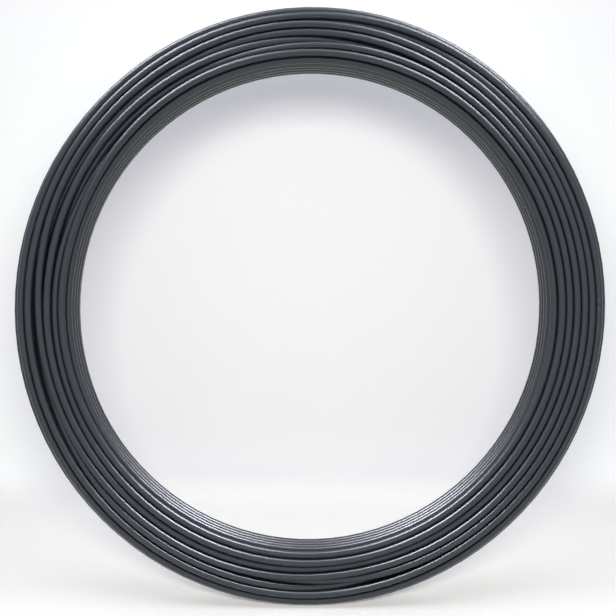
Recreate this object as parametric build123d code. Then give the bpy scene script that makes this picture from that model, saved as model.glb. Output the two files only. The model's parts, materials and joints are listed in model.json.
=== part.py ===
"""Coil of plastic-coated steel tension wire, standing on its rim as one wound bundle of turns.

Frame: +Z up, the floor at Z = 0, the coil's axis along Y at the height of its outer radius, and the
end that faces the viewer towards -Y. All sizes are in millimetres.
"""
import math
import os

from build123d import *

# The wire and the coil that it is wound into
wire_diameter = 3.8       # over the plastic coat
bore_diameter = 248.0     # the mandrel that the wire was wound on
winding_depth = 30.0      # from the bore out to the crests of the outermost turns
coil_width = 24.6         # along the axis, over the crests of the end turns
bundle_corner = 4.5       # corner radius of the line through the edge turns' centres

# Each turn that shows is the outer half of an octagon around the wire: a crest and two flanks
crest_width = wire_diameter * math.tan(math.pi / 8)
groove_depth = (wire_diameter - crest_width) / 2

wire_radius = wire_diameter / 2
bore_radius = bore_diameter / 2
outer_radius = bore_radius + winding_depth


def edge_turn_line():
    """Closed line through the centres of the turns that show, as (line, share of it at mid-rim)."""
    rim_centre = outer_radius - wire_radius
    bore_centre = bore_radius + wire_radius
    line = Pos((rim_centre + bore_centre) / 2, 0) * RectangleRounded(
        rim_centre - bore_centre, coil_width - wire_diameter, bundle_corner
    )
    line = line.wire()
    return line, line.param_at_point(Vector(rim_centre, 0))


def winding_section():
    """Half section of the bundle: X is the radius from the coil's axis, Y runs along that axis."""
    line, mid_rim = edge_turn_line()
    turns = 2 * round(line.length / wire_diameter / 2)
    pitch = line.length / turns
    half_crest = crest_width / pitch / 2
    section_normal = Vector(0, 0, 1)

    def off_the_line(place, height):
        """Point at that height above the line through the centres, place turns on from mid-rim."""
        share = (mid_rim + place / turns) % 1.0
        along = line % share
        outward = along.cross(section_normal)
        return line @ share + outward * height

    # The innermost layer lies flat on the mandrel, so the bore is one plain wall between its corners
    bore_wall = coil_width - wire_diameter - 2 * bundle_corner
    last = int((turns - bore_wall / pitch) / 2)
    outline = []
    for turn in range(-last, last):
        outline.append(off_the_line(turn, wire_radius - groove_depth))
        outline.append(off_the_line(turn + 0.5 - half_crest, wire_radius))
        outline.append(off_the_line(turn + 0.5 + half_crest, wire_radius))
    outline.append(off_the_line(last, wire_radius - groove_depth))
    outline.append(Vector(bore_radius, bore_wall / 2))
    outline.append(Vector(bore_radius, -bore_wall / 2))
    return make_face(Polyline(*outline, close=True))


def wire_coil():
    """The wound bundle, turned about the coil's axis and set down on its rim."""
    ring = revolve(winding_section(), axis=Axis.Y)
    return Pos(0, 0, outer_radius) * ring


os.makedirs("parts", exist_ok=True)
coil = wire_coil()
export_step(coil, "parts/wire_coil.step")
print("volume", round(coil.volume), "box", coil.bounding_box().size)
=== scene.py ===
"""Coil of coated tension wire: one long plastic-coated wire, wound into a coil that stands on its rim.

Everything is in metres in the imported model's frame: +Z up, the floor at Z = 0, the coil's axis along Y
and the camera on the -Y side. Angles around the coil are turned clockwise from its top, as the camera
sees it. Inside the winding a place is (radius from the coil's axis, distance along that axis).
"""
import json
import math

import bpy
import numpy as np
from bpy.props import FloatProperty, FloatVectorProperty, IntProperty, PointerProperty
from mathutils import Matrix, Vector


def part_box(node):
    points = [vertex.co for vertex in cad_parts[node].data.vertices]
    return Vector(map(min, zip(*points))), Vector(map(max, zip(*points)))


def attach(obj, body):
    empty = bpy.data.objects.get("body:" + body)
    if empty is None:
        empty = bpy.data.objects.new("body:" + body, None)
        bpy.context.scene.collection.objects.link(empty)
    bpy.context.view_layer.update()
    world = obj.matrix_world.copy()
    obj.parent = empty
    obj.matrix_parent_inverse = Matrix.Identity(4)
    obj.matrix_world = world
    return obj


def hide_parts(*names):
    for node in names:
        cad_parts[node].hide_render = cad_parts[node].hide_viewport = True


bl_info = {
    "name": "Coil of coated tension wire",
    "version": (1, 0, 0),
    "blender": (4, 5, 0),
    "location": "View3D > Sidebar > Wire Coil",
    "description": "Winds plastic-coated wire into its packed coil and lights it for a picture",
    "category": "Object",
}

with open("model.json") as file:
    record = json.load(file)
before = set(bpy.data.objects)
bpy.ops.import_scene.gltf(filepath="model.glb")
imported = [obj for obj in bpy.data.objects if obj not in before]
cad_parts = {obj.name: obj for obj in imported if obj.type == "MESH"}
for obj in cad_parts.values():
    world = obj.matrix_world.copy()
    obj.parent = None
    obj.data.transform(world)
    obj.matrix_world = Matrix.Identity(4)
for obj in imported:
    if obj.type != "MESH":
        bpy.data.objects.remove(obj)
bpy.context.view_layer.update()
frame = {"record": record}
COIL_LOW, COIL_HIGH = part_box("wire_coil")
OUTER_RADIUS = (COIL_HIGH.z - COIL_LOW.z) / 2
COIL_WIDTH = COIL_HIGH.y - COIL_LOW.y
COIL_MIDDLE = (0.0, 0.0, OUTER_RADIUS)
BORE_RADIUS = frame["record"]["mounts"][0]["dims"]["r_mm"] / 1000


# Settings

class WireSettings(bpy.types.PropertyGroup):
    """The wire, the way it is wound, and its finish."""

    wire_diameter: FloatProperty(
        name="Wire diameter", description="Over the plastic coat",
        default=0.0038, min=0.001, unit="LENGTH")
    core_diameter: FloatProperty(
        name="Core diameter", description="Of the steel inside the coat, which shows on the cut ends",
        default=0.0025, min=0.0005, unit="LENGTH")
    wire_length: FloatProperty(
        name="Wire length", description="Of the whole wire, from cut end to cut end",
        default=40.0, min=1.0, unit="LENGTH")
    bundle_corner: FloatProperty(
        name="Bundle corner", description="Corner radius of the line through the edge turns' centres",
        default=0.0045, min=0.0, unit="LENGTH")
    wander: FloatProperty(
        name="Wander", description="How far a turn strays from its place in the lay",
        default=0.0012, min=0.0, unit="LENGTH")
    oval: FloatProperty(
        name="Oval", description="Share by which the coil is taller than it is wide",
        default=0.0155, min=0.0, max=0.1, subtype="FACTOR")
    oval_angle: FloatProperty(
        name="Oval angle", description="Of the coil's longest diameter, clockwise from upright",
        default=math.radians(13), subtype="ANGLE")
    end_angle: FloatProperty(
        name="End angle", description="Where both cut ends lie, clockwise from the top",
        default=math.radians(100), subtype="ANGLE")
    lay_seed: IntProperty(
        name="Lay seed", description="Another number winds the same coil with other small strays",
        default=7, min=0)
    tube_sides: IntProperty(
        name="Tube sides", description="Flats around the wire's mesh",
        default=14, min=6, max=24)
    coat_colour: FloatVectorProperty(
        name="Coat colour", description="Of the anthracite plastic",
        default=(0.040, 0.048, 0.055), min=0.0, max=1.0, subtype="COLOR")
    core_colour: FloatVectorProperty(
        name="Core colour", description="Of the cut steel",
        default=(0.46, 0.47, 0.48), min=0.0, max=1.0, subtype="COLOR")


class StageSettings(bpy.types.PropertyGroup):
    """The camera, the sweep behind the coil and the lamps."""

    camera_distance: FloatProperty(
        name="Camera distance", description="From the lens to the front of the coil",
        default=0.365, min=0.05, unit="LENGTH")
    camera_height: FloatProperty(
        name="Camera height", description="Of the level lens above the floor",
        default=0.1547, min=0.0, unit="LENGTH")
    focal_pixels: FloatProperty(
        name="Focal length", description="In pixels of the picture",
        default=715.0, min=50.0)
    wall_distance: FloatProperty(
        name="Wall distance", description="From the front of the coil back to the wall of the sweep",
        default=0.237, min=0.05, unit="LENGTH")
    sweep_colour: FloatVectorProperty(
        name="Sweep colour", description="Of the pale floor and wall",
        default=(0.93, 0.93, 0.93), min=0.0, max=1.0, subtype="COLOR")


# The lay of the wire

POINTS_PER_TURN = 48        # control points of the wire's spline in one turn around the coil
SPLINE_ORDER = 3            # of a spline made of parabolas
SPLINE_STEPS = 2            # points read from the spline for each control point

LAY_PITCH = 1.03            # distance between places side by side in the lay, in wire diameters
SHORT_LAYER = 3             # an inner layer with a turn less, which stays back from the front
LAYER_SHIFT = 0.2           # the most that a layer lies to one side, in wire diameters
LAYER_SHIFT_TURN = 2.4      # radians that the wave of these shifts goes on from layer to layer
STRAY_POINTS = POINTS_PER_TURN // 3     # control points over which a stray comes and goes
BORE_STRAY = 0.3            # share of the wander left to the innermost layer, which lies on the mandrel

# Where in its turn the wire steps over to its next place, and over which arc, as shares of the turn
STEP_FROM, STEP_SPREAD = 0.5, 0.4
STEP_ARC, STEP_ARC_SPREAD = 0.12, 0.12

# The layers that end on the coil's front, and the angles in degrees at which the wire climbs from them
FRONT_CLIMBS = {0: 250, 2: 306, 4: 360, 6: 323}
FRONT_CLIMB_ARC = 0.14      # share of a turn over which it climbs
FRONT_CLIMB_LAG = 0.1       # share of a turn after which the turn before it takes its place on the front

SETTLE_ROUNDS = 400         # rounds in which the turns push each other into place
LAST_ROUNDS_FROM = 0.8      # share of the rounds after which the wire straightens less
LOOSENESS = 1.05            # distance to which close turns are pushed apart, in wire diameters
PUSH = 0.3                  # share of an overlap by which each of two turns gives way in a round
STRAIGHTENING, LAST_STRAIGHTENING = 0.5, 0.25   # share of the way to the smoothed wire in a round
SMOOTHINGS = 2              # passes in which a round smooths the wire
TINY = 1e-9                 # least length that anything is divided by


def ease(share):
    """Smooth step from 0 to 1 as share goes from 0 to 1."""
    share = np.clip(share, 0.0, 1.0)
    return share * share * (3 - 2 * share)


class Section:
    """The cut through the wound bundle, in which the centres of the turns lie."""

    def __init__(self, wire):
        inset = wire.wire_diameter / 2
        self.low = np.array([BORE_RADIUS + inset, inset - COIL_WIDTH / 2])
        self.high = np.array([OUTER_RADIUS - inset, COIL_WIDTH / 2 - inset])
        self.corner = wire.bundle_corner

    def keep_inside(self, places):
        """Moves each place that is outside the rounded section back to its edge."""
        anchors = np.clip(places, self.low + self.corner, self.high - self.corner)
        reach = places - anchors
        length = np.linalg.norm(reach, axis=-1, keepdims=True)
        return anchors + reach * np.minimum(1.0, self.corner / np.maximum(length, TINY))


def turns_of_each_layer(wire, section):
    """How many turns lie side by side in each layer, from the bore out, with what is left in the last."""
    depth, width = section.high - section.low
    layers = 1 + round(depth / wire.wire_diameter)
    counts = [1 + int(width / wire.wire_diameter)] * (layers - 1)
    counts[SHORT_LAYER] -= 1
    mean_turn = math.pi * (BORE_RADIUS + OUTER_RADIUS)
    return counts + [round(wire.wire_length / mean_turn) - sum(counts)]


def places_in_the_lay(wire, section, counts):
    """The place of each turn: layers of turns side by side, each wound back across the one before."""
    places, front = [], []
    pitch = LAY_PITCH * wire.wire_diameter
    for layer, count in enumerate(counts):
        radius = section.low[0] + (section.high[0] - section.low[0]) * layer / (len(counts) - 1)
        start = pitch * (count if layer == SHORT_LAYER else max(counts)) / 2 - pitch / 2
        towards = -1 if layer % 2 == 0 else 1
        if layer != SHORT_LAYER:
            front.append(len(places) + (count - 1 if layer % 2 == 0 else 0))
        shift = LAYER_SHIFT * wire.wire_diameter * math.cos(LAYER_SHIFT_TURN * layer)
        places += [(radius, towards * (pitch * turn - start) + shift) for turn in range(count)]
    places = np.array(places)
    # The turns on the front share its length out evenly, between the middles of its rounded corners
    rounding = section.corner * (1 - math.sqrt(0.5))
    places[front, 0] = np.linspace(section.low[0] + rounding, section.high[0] - rounding, len(front))
    return places


def steps_between_turns(wire, counts, turns, random):
    """Where each turn steps over to the next place, and over which arc, as shares of the turn."""
    middles = STEP_FROM + STEP_SPREAD * random.random(turns)
    arcs = STEP_ARC + STEP_ARC_SPREAD * random.random(turns)
    for layer, angle in FRONT_CLIMBS.items():
        last_turn = sum(counts[:layer + 1]) - 1
        middles[last_turn] = (math.radians(angle) - wire.end_angle) / math.tau % 1.0
        middles[last_turn - 1] = middles[last_turn] + FRONT_CLIMB_LAG
        arcs[last_turn - 1:last_turn + 1] = FRONT_CLIMB_ARC
    return middles, arcs


def strays(count, reach, random):
    """Slow random drift along the wire, for its radius and for its place across the coil."""
    window = np.hanning(STRAY_POINTS)
    drift = np.stack([np.convolve(random.normal(size=count), window, "same") for _ in range(2)], axis=1)
    return reach * drift / drift.std()


def settle(places, wire, section):
    """Pushes turns that are too close apart, and keeps them in the section and the wire smooth."""
    distance = LOOSENESS * wire.wire_diameter
    for step in range(SETTLE_ROUNDS):
        cuts = places.reshape(-1, POINTS_PER_TURN, 2).transpose(1, 0, 2)
        apart = cuts[:, :, None, :] - cuts[:, None, :, :]
        gap = np.linalg.norm(apart, axis=-1)
        overlap = np.clip(distance - gap, 0.0, None) / np.maximum(gap, TINY)
        cuts = cuts + PUSH * (apart * overlap[..., None]).sum(axis=2)
        places = cuts.transpose(1, 0, 2).reshape(-1, 2)
        smooth = places.copy()
        for _ in range(SMOOTHINGS):
            smooth[1:-1] = (smooth[:-2] + 2 * smooth[1:-1] + smooth[2:]) / 4
        share = LAST_STRAIGHTENING if step > LAST_ROUNDS_FROM * SETTLE_ROUNDS else STRAIGHTENING
        places = section.keep_inside(places + share * (smooth - places))
    return places


def lay_of_the_wire(wire):
    """Place of each control point of the wire, from its inner end at the bore to its outer end."""
    random = np.random.default_rng(wire.lay_seed)
    section = Section(wire)
    counts = turns_of_each_layer(wire, section)
    places = places_in_the_lay(wire, section, counts)
    following = np.vstack([places[1:], places[-1:]])
    middles, arcs = steps_between_turns(wire, counts, len(places), random)
    share = np.arange(POINTS_PER_TURN) / POINTS_PER_TURN
    stepped = ease((share[None, :] - middles[:, None]) / arcs[:, None] + 0.5)
    wound = places[:, None, :] + stepped[..., None] * (following - places)[:, None, :]
    wound = wound.reshape(-1, 2)
    reach = np.full((len(wound), 1), wire.wander)
    reach[:counts[0] * POINTS_PER_TURN] *= BORE_STRAY
    return settle(wound + strays(len(wound), reach, random), wire, section)


def stand_on_floor(wire, places):
    """Control points of the wire in the frame, with the coil's lowest turn on the floor."""
    angles = wire.end_angle + math.tau * np.arange(len(places)) / POINTS_PER_TURN
    # The spline runs inside its control points: this is its radius as a share of theirs
    inside = (3 + math.cos(math.tau / POINTS_PER_TURN)) / 4
    stretch = 1 + wire.oval / 2 * np.cos(2 * (angles - wire.oval_angle))
    radii = places[:, 0] * stretch / inside
    points = np.stack([radii * np.sin(angles), places[:, 1], radii * np.cos(angles)], axis=1)
    points[:, 2] += wire.wire_diameter / 2 - points[:, 2].min() * inside
    return points


def wire_route(points):
    """The line of the wire: a smooth spline along the lay, as a mesh of its points."""
    curve = bpy.data.curves.new("wire_route", "CURVE")
    curve.dimensions = "3D"
    spline = curve.splines.new("NURBS")
    spline.points.add(len(points) - 1)
    for point, place in zip(spline.points, points):
        point.co = (*place, 1.0)
    spline.order_u = SPLINE_ORDER
    spline.use_endpoint_u = True
    spline.resolution_u = SPLINE_STEPS
    carrier = bpy.data.objects.new("wire_route", curve)
    bpy.context.scene.collection.objects.link(carrier)
    bpy.context.view_layer.update()
    evaluated = carrier.evaluated_get(bpy.context.evaluated_depsgraph_get())
    route = bpy.data.meshes.new_from_object(evaluated)
    bpy.data.objects.remove(carrier)
    bpy.data.curves.remove(curve)
    return route


# Node trees

WIRE_PLACE = "wire_place"   # a surface point's direction across the wire and its distance along it


class NodeBench:
    """Adds nodes to a tree and links them by the names of their sockets."""

    def __init__(self, tree):
        self.tree = tree

    def add(self, kind, values=None, **settings):
        """A node of that kind, with its own settings and with values or sockets put into its inputs."""
        node = self.tree.nodes.new(kind)
        for name, value in settings.items():
            setattr(node, name, value)
        for socket, value in (values or {}).items():
            self.put(node.inputs[socket], value)
        return node

    def put(self, socket, value):
        """Links a socket to an input, or sets the input to a plain value."""
        if isinstance(value, bpy.types.NodeSocket):
            self.tree.links.new(value, socket)
        else:
            socket.default_value = value

    def math(self, operation, first, second):
        """The result of an operation on two values."""
        return self.add("ShaderNodeMath", {0: first, 1: second}, operation=operation).outputs[0]

    def noise(self, vector, kind):
        """Noise over a vector, with its kind given as (scale, detail, roughness)."""
        scale, detail, roughness = kind
        return self.add("ShaderNodeTexNoise", {
            "Vector": vector, "Scale": scale, "Detail": detail, "Roughness": roughness}).outputs["Fac"]

    def carry(self, value, levels, results=(0.0, 1.0), curve="LINEAR"):
        """A value carried over from a range between two levels to one between two results."""
        return self.add("ShaderNodeMapRange", {
            "Value": value, "From Min": levels[0], "From Max": levels[1],
            "To Min": results[0], "To Max": results[1]}, interpolation_type=curve).outputs["Result"]

    def mix(self, factor, first, second):
        """A colour between two others."""
        return self.add("ShaderNodeMix", {
            "Factor": factor, "A": first, "B": second}, data_type="RGBA").outputs["Result"]


def add_sockets(tree, in_out, sockets):
    """Gives a tree its inputs or its outputs, from pairs of a name and a kind such as Float."""
    for name, kind in sockets:
        tree.interface.new_socket(name, in_out=in_out, socket_type=f"NodeSocket{kind}")


def wire_tube_tree():
    """Geometry Nodes that sweep a round wire along a route and show its core on the two cut ends."""
    tree = bpy.data.node_groups.new("Wire tube", "GeometryNodeTree")
    add_sockets(tree, "INPUT", (
        ("Route", "Geometry"), ("Wire Diameter", "Float"), ("Core Diameter", "Float"),
        ("Sides", "Int"), ("Coat", "Material"), ("Core", "Material")))
    add_sockets(tree, "OUTPUT", (("Wire", "Geometry"),))

    bench = NodeBench(tree)
    given = bench.add("NodeGroupInput").outputs
    line = bench.add("GeometryNodeMeshToCurve", {"Mesh": given["Route"]})
    along = bench.add("GeometryNodeCaptureAttribute", {"Geometry": line.outputs["Curve"]})
    along.capture_items.new("FLOAT", "Along")
    bench.put(along.inputs["Along"], bench.add("GeometryNodeSplineParameter").outputs["Length"])

    radius = bench.math("DIVIDE", given["Wire Diameter"], 2.0)
    ring = bench.add("GeometryNodeCurvePrimitiveCircle", {"Resolution": given["Sides"], "Radius": radius})
    across = bench.add("GeometryNodeCaptureAttribute", {"Geometry": ring.outputs["Curve"]})
    across.capture_items.new("VECTOR", "Across")
    spot = bench.add("GeometryNodeInputPosition").outputs["Position"]
    unit = bench.add("ShaderNodeVectorMath", {0: spot}, operation="NORMALIZE")
    bench.put(across.inputs["Across"], unit.outputs["Vector"])

    tube = bench.add("GeometryNodeCurveToMesh", {
        "Curve": along.outputs["Geometry"], "Profile Curve": across.outputs["Geometry"],
        "Fill Caps": True})
    run = bench.add("ShaderNodeCombineXYZ", {"Z": along.outputs["Along"]})
    place = bench.add("ShaderNodeVectorMath",
                      {0: across.outputs["Across"], 1: run.outputs["Vector"]}, operation="ADD")
    marked = bench.add("GeometryNodeStoreNamedAttribute", {
        "Geometry": tube.outputs["Mesh"], "Name": WIRE_PLACE, "Value": place.outputs["Vector"]},
        data_type="FLOAT_VECTOR", domain="POINT")

    # The two caps are the only faces with more than four corners
    corners = bench.add("GeometryNodeInputMeshFaceNeighbors").outputs["Vertex Count"]
    cap = bench.add("FunctionNodeCompare", {2: corners, 3: 4},
                    data_type="INT", operation="GREATER_THAN").outputs["Result"]
    side = bench.add("FunctionNodeBooleanMath", {0: cap}, operation="NOT").outputs["Boolean"]
    rounded = bench.add("GeometryNodeSetShadeSmooth",
                        {"Geometry": marked.outputs["Geometry"], "Shade Smooth": side})
    inset = bench.add("GeometryNodeExtrudeMesh", {
        "Mesh": rounded.outputs["Geometry"], "Selection": cap, "Offset Scale": 0.0}, mode="FACES")
    cored = bench.add("GeometryNodeScaleElements", {
        "Geometry": inset.outputs["Mesh"], "Selection": inset.outputs["Top"],
        "Scale": bench.math("DIVIDE", given["Core Diameter"], given["Wire Diameter"])}, domain="FACE")

    whole = bench.add("GeometryNodeRealizeInstances", {"Geometry": cored.outputs["Geometry"]})
    coated = bench.add("GeometryNodeSetMaterial",
                       {"Geometry": whole.outputs["Geometry"], "Material": given["Coat"]})
    finished = bench.add("GeometryNodeSetMaterial", {
        "Geometry": coated.outputs["Geometry"], "Selection": inset.outputs["Top"],
        "Material": given["Core"]})
    bench.add("NodeGroupOutput", {"Wire": finished.outputs["Geometry"]})
    return tree


def socket_id(tree, name):
    """Identifier of a tree's input, by which a modifier's value is set."""
    return next(item.identifier for item in tree.interface.items_tree
                if item.name == name and item.in_out == "INPUT")


def shape_by_nodes(name, base, tree, values):
    """Runs a node tree on a base mesh and keeps the result as a plain mesh object."""
    carrier = bpy.data.objects.new(name, base)
    modifier = carrier.modifiers.new(tree.name, "NODES")
    modifier.node_group = tree
    for socket, value in values.items():
        modifier[socket_id(tree, socket)] = value
    bpy.context.scene.collection.objects.link(carrier)
    bpy.context.view_layer.update()
    evaluated = carrier.evaluated_get(bpy.context.evaluated_depsgraph_get())
    shaped = bpy.data.meshes.new_from_object(evaluated)
    carrier.modifiers.clear()
    carrier.data = shaped
    bpy.data.meshes.remove(base)
    return carrier


# Materials

# A noise is (scale, detail, roughness), a stretch is along X, Y and Z, and tints are factors of a colour
LINES_NOISE, LINES_STRETCH = (1.6, 3.0, 0.6), (2.2, 2.2, 5.0)
LINES_LEVELS, COAT_ROUGHNESS = (0.3, 0.7), (0.21, 0.27)
MOTTLE_NOISE, MOTTLE_TINTS = (95.0, 4.0, 0.55), (0.93, 1.07)
GRAIN_NOISE = (1500.0, 2.0, 0.5)
RUB_NOISE, RUB_LEVELS = (38.0, 5.0, 0.65), (0.62, 0.75)
RUB_TINT, RUB_SHARE = 1.5, 0.1          # the tint of a rub, and how much of it shows
RUB_ROUGHNESS = 0.06                    # added where the coat is rubbed
RELIEF_STRENGTH, RELIEF_HEIGHT = 0.02, 0.0002
CUT_NOISE, CUT_STRETCH = (1.0, 3.0, 0.5), (400.0, 400.0, 4000.0)
CUT_TINTS, CUT_ROUGHNESS = (0.7, 1.2), (0.3, 0.55)


def tinted_noise_tree():
    """Shader nodes that vary a colour between two tints by noise, built once for all materials."""
    name = "Tinted noise"
    if name in bpy.data.node_groups:
        return bpy.data.node_groups[name]
    tree = bpy.data.node_groups.new(name, "ShaderNodeTree")
    add_sockets(tree, "INPUT", (
        ("Vector", "Vector"), ("Scale", "Float"), ("Detail", "Float"), ("Roughness", "Float"),
        ("Dark", "Color"), ("Light", "Color")))
    add_sockets(tree, "OUTPUT", (("Colour", "Color"), ("Noise", "Float")))
    bench = NodeBench(tree)
    given = bench.add("NodeGroupInput").outputs
    noise = bench.noise(given["Vector"], (given["Scale"], given["Detail"], given["Roughness"]))
    colour = bench.mix(noise, given["Dark"], given["Light"])
    bench.add("NodeGroupOutput", {"Colour": colour, "Noise": noise})
    return tree


def tinted(colour, factor):
    """The colour times a factor, as a shader socket takes it."""
    return tuple(channel * factor for channel in colour) + (1.0,)


def add_tinted_noise(bench, vector, kind, colour, tints):
    """Places the tinted noise in a material and gives its outputs."""
    scale, detail, roughness = kind
    dark, light = tints
    return bench.add("ShaderNodeGroup", {
        "Vector": vector, "Scale": scale, "Detail": detail, "Roughness": roughness,
        "Dark": tinted(colour, dark), "Light": tinted(colour, light)},
        node_tree=tinted_noise_tree()).outputs


def new_material(name):
    """A new node material, with its bench, its Principled shader and its output."""
    material = bpy.data.materials.new(name)
    material.use_nodes = True
    material.node_tree.nodes.clear()
    bench = NodeBench(material.node_tree)
    shader = bench.add("ShaderNodeBsdfPrincipled")
    output = bench.add("ShaderNodeOutputMaterial", {"Surface": shader.outputs["BSDF"]})
    return material, bench, shader, output


def coat_material(wire):
    """Satin anthracite plastic: drawn lines along the wire, soft mottling and a few dull rubs."""
    material, bench, shader, _ = new_material("anthracite_coat")
    place = bench.add("ShaderNodeAttribute", attribute_name=WIRE_PLACE).outputs["Vector"]
    drawn = bench.add("ShaderNodeMapping", {"Vector": place, "Scale": LINES_STRETCH})
    lines = bench.noise(drawn.outputs["Vector"], LINES_NOISE)
    spot = bench.add("ShaderNodeTexCoord").outputs["Object"]
    mottle = add_tinted_noise(bench, spot, MOTTLE_NOISE, wire.coat_colour, MOTTLE_TINTS)
    grain = bench.noise(spot, GRAIN_NOISE)
    rubs = bench.carry(bench.noise(spot, RUB_NOISE), RUB_LEVELS)

    colour = bench.mix(bench.math("MULTIPLY", rubs, RUB_SHARE), mottle["Colour"],
                       tinted(wire.coat_colour, RUB_TINT))
    bench.put(shader.inputs["Base Color"], colour)

    sheen = bench.carry(lines, LINES_LEVELS, COAT_ROUGHNESS)
    dull = bench.math("MULTIPLY", rubs, RUB_ROUGHNESS)
    bench.put(shader.inputs["Roughness"], bench.math("ADD", sheen, dull))

    bump = bench.add("ShaderNodeBump", {
        "Height": bench.math("ADD", lines, grain),
        "Strength": RELIEF_STRENGTH, "Distance": RELIEF_HEIGHT})
    bench.put(shader.inputs["Normal"], bump.outputs["Normal"])
    return material


def core_material(wire):
    """Bright cut steel with the fine marks of the cutter."""
    material, bench, shader, _ = new_material("cut_steel_core")
    spot = bench.add("ShaderNodeTexCoord").outputs["Object"]
    streaks = bench.add("ShaderNodeMapping", {"Vector": spot, "Scale": CUT_STRETCH})
    marks = add_tinted_noise(bench, streaks.outputs["Vector"], CUT_NOISE, wire.core_colour, CUT_TINTS)
    bench.put(shader.inputs["Base Color"], marks["Colour"])
    bench.put(shader.inputs["Metallic"], 1.0)
    bench.put(shader.inputs["Roughness"], bench.carry(marks["Noise"], (0.0, 1.0), CUT_ROUGHNESS))
    return material


# The stage

PICTURE_SIZE = 616          # pixels along each side of the picture
COIL_MIDDLE_PIXEL = (309.9, 306.8)      # where the lens's axis meets the picture, by the coil's middle
SENSOR_WIDTH = 36.0         # millimetres, as the camera's lens is given
CLIP_START = 0.01

SWEEP_HALF_WIDTH = 2.5
SWEEP_FRONT = -1.6
SWEEP_TOP = 2.2
SWEEP_BEND = 0.05           # radius of the bend between the floor and the wall
BEND_STEPS = 12
PAPER_NOISE, PAPER_TINTS, PAPER_ROUGHNESS = (6.0, 2.0, 0.5), (0.99, 1.01), 0.9

# Painted light on the wall, seen by the camera and in gloss: how much paler it is near the coil's axis
# and far from it, and the distances between. It is weaker and bluer near the axis, which paints blue
# shade where the coil's shadow falls
NEAR_GLOW, FAR_GLOW = (0.1, 0.09, 0.135, 1.0), (0.28, 0.28, 0.31, 1.0)
GLOW_RANGE = (0.16, 0.29)
# The same painted light for the floor: weaker near the coil, where its shadow stays, and strong at the
# floor's ends, where the floor is painted paler until it fades out
FLOOR_GLOW, FLOOR_END_GLOW = (0.22, 0.21, 0.23, 1.0), (0.75, 0.75, 0.75, 1.0)
FADE_RANGE = (0.4, 1.4)
FLOOR_HEIGHT = 0.02         # how far up the bend the floor's glow gives way to the wall's

# The two strip lamps above the coil, which draw a bright line along the turns on each side of its top
STRIP_ANGLE = math.radians(30)          # from the coil's top, to each side
STRIP_FORWARD = 0.31                    # share of the way that the strip hangs towards the camera
STRIP_DISTANCE = 0.5
STRIP_SIZES = (0.25, 0.2)
STRIP_COLOUR = (0.86, 0.88, 1.0)
STRIP_WATTS, GLINT_WATTS = 0.25, 17.5

# Soft light on the coil from above and from the front
TOP_PLACE, TOP_SIZES, TOP_WATTS = (0.0, -0.35, 1.1), (1.0, 0.6), 2.0
FRONT_PLACE, FRONT_SIZES, FRONT_WATTS = (0.0, -1.5, 0.35), (1.0, 1.0), 1.9
SOFT_COLOUR = (0.76, 0.86, 1.0)

# The lamps of the sweep: one near the camera throws the coil's shadow on the wall, one above on the floor
WALL_LAMP_PLACE, WALL_LAMP_SIZES, WALL_LAMP_WATTS = (0.0, -0.39, 0.205), (0.12, 0.055), 1.8
WALL_LAMP_AIM = (0.0, 0.0, 0.3)
WALL_LAMP_COLOUR = (1.0, 1.0, 0.9)
FLOOR_LAMP_PLACE, FLOOR_LAMP_SIZES, FLOOR_LAMP_WATTS = (0.0, -0.35, 1.3), (1.4, 0.8), 7.6
FLOOR_LAMP_COLOUR = (0.95, 0.97, 1.0)

WORLD_COLOUR, SEEN_WORLD_COLOUR = (0.8, 0.86, 1.0, 1.0), (1.0, 1.0, 1.0, 1.0)
WORLD_STRENGTH = 0.04


def seen_or_mirrored(bench):
    """1 where the camera sees a place itself, in gloss or through glass, and 0 for light on its way."""
    path = bench.add("ShaderNodeLightPath").outputs
    mirrored = bench.math("MAXIMUM", path["Is Glossy Ray"], path["Is Transmission Ray"])
    return bench.math("MAXIMUM", path["Is Camera Ray"], mirrored)


def painted_sweep_glow(bench, spot):
    """Painted light on the sweep: how much paler than it is lit it is seen, by the distance from the
    coil, weakest and bluest near the coil where its shadow falls.
    """
    apart = bench.add("ShaderNodeVectorMath", {0: spot, 1: COIL_MIDDLE}, operation="SUBTRACT")
    sideways = bench.add("ShaderNodeVectorMath", {
        0: apart.outputs["Vector"], 1: (1.0, 0.0, 1.0)}, operation="MULTIPLY")
    from_axis = bench.add("ShaderNodeVectorMath", {0: sideways.outputs["Vector"]}, operation="LENGTH")
    far = bench.carry(from_axis.outputs["Value"], GLOW_RANGE, curve="SMOOTHSTEP")
    away = bench.add("ShaderNodeVectorMath", {0: spot}, operation="LENGTH")
    faded = bench.carry(away.outputs["Value"], FADE_RANGE, curve="SMOOTHSTEP")
    height = bench.add("ShaderNodeSeparateXYZ", {"Vector": spot}).outputs["Z"]
    raised = bench.carry(height, (0.0, FLOOR_HEIGHT), curve="SMOOTHSTEP")
    return bench.mix(raised, bench.mix(faded, FLOOR_GLOW, FLOOR_END_GLOW),
                     bench.mix(far, NEAR_GLOW, FAR_GLOW))


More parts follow.
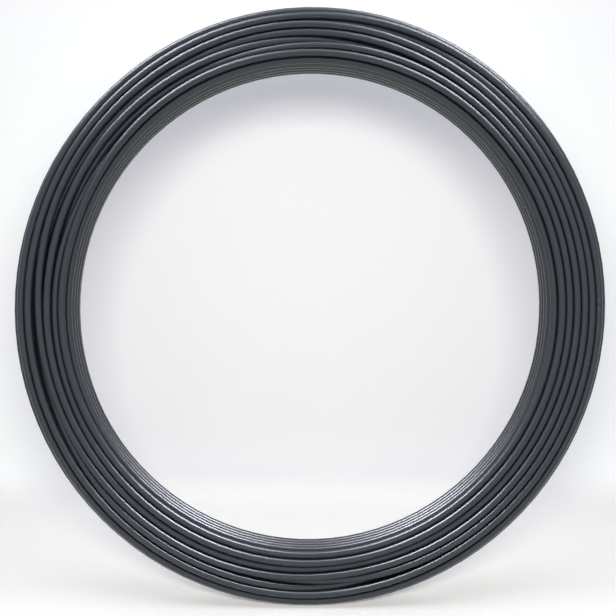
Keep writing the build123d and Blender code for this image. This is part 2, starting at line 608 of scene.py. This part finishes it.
def sweep_material(stage):
    """Pale matt paper of the floor and wall, which can be seen through from behind and from below."""
    material, bench, shader, output = new_material("pale_sweep")
    spot = bench.add("ShaderNodeTexCoord").outputs["Object"]
    fibre = add_tinted_noise(bench, spot, PAPER_NOISE, stage.sweep_colour, PAPER_TINTS)
    bench.put(shader.inputs["Base Color"], fibre["Colour"])
    bench.put(shader.inputs["Roughness"], PAPER_ROUGHNESS)
    bench.put(shader.inputs["Specular IOR Level"], 0.0)
    # Painted light: the sweep glows to the camera and in gloss, less and bluer near the coil, which
    # paints shade around it
    bench.put(shader.inputs["Emission Color"], painted_sweep_glow(bench, spot))
    bench.put(shader.inputs["Emission Strength"], seen_or_mirrored(bench))
    one_sided = bench.add("ShaderNodeMixShader", {
        0: bench.add("ShaderNodeNewGeometry").outputs["Backfacing"], 1: shader.outputs["BSDF"],
        2: bench.add("ShaderNodeBsdfTransparent").outputs["BSDF"]})
    bench.put(output.inputs["Surface"], one_sided.outputs["Shader"])
    return material


def sweep_mesh(wall_y):
    """Floor and wall in one sheet, with a bend between them."""
    profile = [(SWEEP_FRONT, 0.0)]
    for step in range(BEND_STEPS + 1):
        turn = math.pi / 2 * step / BEND_STEPS
        profile.append((wall_y - SWEEP_BEND * (1 - math.sin(turn)), SWEEP_BEND * (1 - math.cos(turn))))
    profile.append((wall_y, SWEEP_TOP))
    vertices = [(x, y, z) for y, z in profile for x in (-SWEEP_HALF_WIDTH, SWEEP_HALF_WIDTH)]
    faces = [(2 * i, 2 * i + 1, 2 * i + 3, 2 * i + 2) for i in range(len(profile) - 1)]
    mesh = bpy.data.meshes.new("sweep")
    mesh.from_pydata(vertices, [], faces)
    mesh.shade_smooth()
    return mesh


def add_lamp(name, place, sizes, watts, colour, lit, along=(1.0, 0.0, 0.0), aim=COIL_MIDDLE):
    """A soft lamp that looks at its aim and lights one group, its length turned along a direction."""
    light = bpy.data.lights.new(name, "AREA")
    light.shape = "RECTANGLE"
    light.size, light.size_y = sizes
    light.energy = watts
    light.color = colour
    back = (Vector(place) - Vector(aim)).normalized()
    across = back.cross(Vector(along)).normalized()
    turned = Matrix((across.cross(back), across, back)).transposed()
    lamp = bpy.data.objects.new(name, light)
    lamp.matrix_world = Matrix.Translation(place) @ turned.to_4x4()
    lamp.light_linking.receiver_collection = lit
    lamp.visible_camera = False
    bpy.context.scene.collection.objects.link(lamp)
    return lamp


def light_group(name, sweep, state):
    """What a lamp lights: the sweep alone, or all but the sweep."""
    group = bpy.data.collections.new(name)
    group.objects.link(sweep)
    group.collection_objects[0].light_linking.link_state = state
    return group


def add_coil_lamps(lit):
    """Soft light on the coil, the strips above it, and a lamp in each strip that only shows in gloss."""
    add_lamp("top", TOP_PLACE, TOP_SIZES, TOP_WATTS, SOFT_COLOUR, lit)
    add_lamp("front", FRONT_PLACE, FRONT_SIZES, FRONT_WATTS, SOFT_COLOUR, lit)
    for side, name in ((-1, "left"), (1, "right")):
        sideways, upwards = side * math.sin(STRIP_ANGLE), math.cos(STRIP_ANGLE)
        level = math.sqrt(1 - STRIP_FORWARD ** 2)
        towards = Vector((level * sideways, -STRIP_FORWARD, level * upwards))
        place = Vector(COIL_MIDDLE) + STRIP_DISTANCE * towards
        along = (upwards, 0.0, -sideways)
        add_lamp(f"{name}_strip", place, STRIP_SIZES, STRIP_WATTS, STRIP_COLOUR, lit, along)
        glint = add_lamp(f"{name}_glint", place, STRIP_SIZES, GLINT_WATTS, STRIP_COLOUR, lit, along)
        glint.visible_diffuse = False


def add_sweep_lamps(lit):
    """The lamps that throw the coil's soft shadow on the wall and on the floor."""
    add_lamp("wall_lamp", WALL_LAMP_PLACE, WALL_LAMP_SIZES, WALL_LAMP_WATTS, WALL_LAMP_COLOUR, lit,
             aim=WALL_LAMP_AIM)
    add_lamp("floor_lamp", FLOOR_LAMP_PLACE, FLOOR_LAMP_SIZES, FLOOR_LAMP_WATTS, FLOOR_LAMP_COLOUR, lit)


def add_camera(stage):
    """The camera, level and on the coil's axis."""
    lens = bpy.data.cameras.new("camera")
    lens.sensor_fit = "HORIZONTAL"
    lens.sensor_width = SENSOR_WIDTH
    lens.lens = SENSOR_WIDTH * stage.focal_pixels / PICTURE_SIZE
    lens.clip_start = CLIP_START
    lens.shift_x = (PICTURE_SIZE / 2 - COIL_MIDDLE_PIXEL[0]) / PICTURE_SIZE
    lens.shift_y = (COIL_MIDDLE_PIXEL[1] - PICTURE_SIZE / 2) / PICTURE_SIZE
    camera = bpy.data.objects.new("camera", lens)
    camera.location = (0.0, COIL_LOW.y - stage.camera_distance, stage.camera_height)
    camera.rotation_euler = (math.pi / 2, 0.0, 0.0)
    bpy.context.scene.collection.objects.link(camera)
    bpy.context.scene.camera = camera


def light_world():
    """Faint, cool light from all around, which is bright in gloss and white to the camera."""
    world = bpy.data.worlds.new("studio")
    world.use_nodes = True
    bench = NodeBench(world.node_tree)
    background = world.node_tree.nodes["Background"]
    seen = bench.add("ShaderNodeLightPath").outputs["Is Camera Ray"]
    bench.put(background.inputs["Color"], bench.mix(seen, WORLD_COLOUR, SEEN_WORLD_COLOUR))
    strength = bench.math("MAXIMUM", seen_or_mirrored(bench), WORLD_STRENGTH)
    bench.put(background.inputs["Strength"], strength)
    bpy.context.scene.world = world


# Operators and panel

class WIRECOIL_OT_set_stage(bpy.types.Operator):
    """Set up the camera, the pale sweep and the lamps"""

    bl_idname = "wire_coil.set_stage"
    bl_label = "Set Stage"

    def execute(self, context):
        stage = context.scene.wire_coil_stage
        add_camera(stage)
        sweep = bpy.data.objects.new("sweep", sweep_mesh(COIL_LOW.y + stage.wall_distance))
        sweep.data.materials.append(sweep_material(stage))
        context.scene.collection.objects.link(sweep)
        add_coil_lamps(light_group("coil_lit", sweep, "EXCLUDE"))
        add_sweep_lamps(light_group("sweep_lit", sweep, "INCLUDE"))
        light_world()
        context.scene.view_settings.view_transform = "Standard"
        return {"FINISHED"}


class WIRECOIL_OT_wind_wire(bpy.types.Operator):
    """Wind the coated wire into the coil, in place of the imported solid"""

    bl_idname = "wire_coil.wind_wire"
    bl_label = "Wind Wire"

    def execute(self, context):
        wire = context.scene.wire_coil_wire
        route = wire_route(stand_on_floor(wire, lay_of_the_wire(wire)))
        line = [tuple(vertex.co) for vertex in route.vertices]
        coil = shape_by_nodes("wound_wire", route, wire_tube_tree(), {
            "Wire Diameter": wire.wire_diameter, "Core Diameter": wire.core_diameter,
            "Sides": wire.tube_sides, "Coat": coat_material(wire), "Core": core_material(wire)})
        if len(coil.data.polygons) < len(line):
            raise RuntimeError("the wire's tube came out empty")
        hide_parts("wire_coil")
        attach(coil, "root")
        return {"FINISHED"}


class WIRECOIL_PT_sidebar(bpy.types.Panel):
    """Settings and steps of the wire coil"""

    bl_idname = "WIRECOIL_PT_sidebar"
    bl_label = "Wire Coil"
    bl_space_type = "VIEW_3D"
    bl_region_type = "UI"
    bl_category = "Wire Coil"

    def draw(self, context):
        for settings, operator in ((context.scene.wire_coil_stage, WIRECOIL_OT_set_stage),
                                   (context.scene.wire_coil_wire, WIRECOIL_OT_wind_wire)):
            box = self.layout.box()
            for name in settings.bl_rna.properties.keys():
                if name not in ("rna_type", "name"):
                    box.prop(settings, name)
            box.operator(operator.bl_idname)


CLASSES = (WireSettings, StageSettings, WIRECOIL_OT_set_stage, WIRECOIL_OT_wind_wire, WIRECOIL_PT_sidebar)


def register():
    """Adds the classes and the scene's settings."""
    for cls in CLASSES:
        bpy.utils.register_class(cls)
    bpy.types.Scene.wire_coil_wire = PointerProperty(type=WireSettings)
    bpy.types.Scene.wire_coil_stage = PointerProperty(type=StageSettings)


def unregister():
    """Takes the settings and the classes away again."""
    del bpy.types.Scene.wire_coil_stage
    del bpy.types.Scene.wire_coil_wire
    for cls in reversed(CLASSES):
        bpy.utils.unregister_class(cls)


def main():
    """Builds the stage and the coil."""
    register()
    bpy.ops.wire_coil.set_stage()
    bpy.ops.wire_coil.wind_wire()


if __name__ == "__main__":
    main()
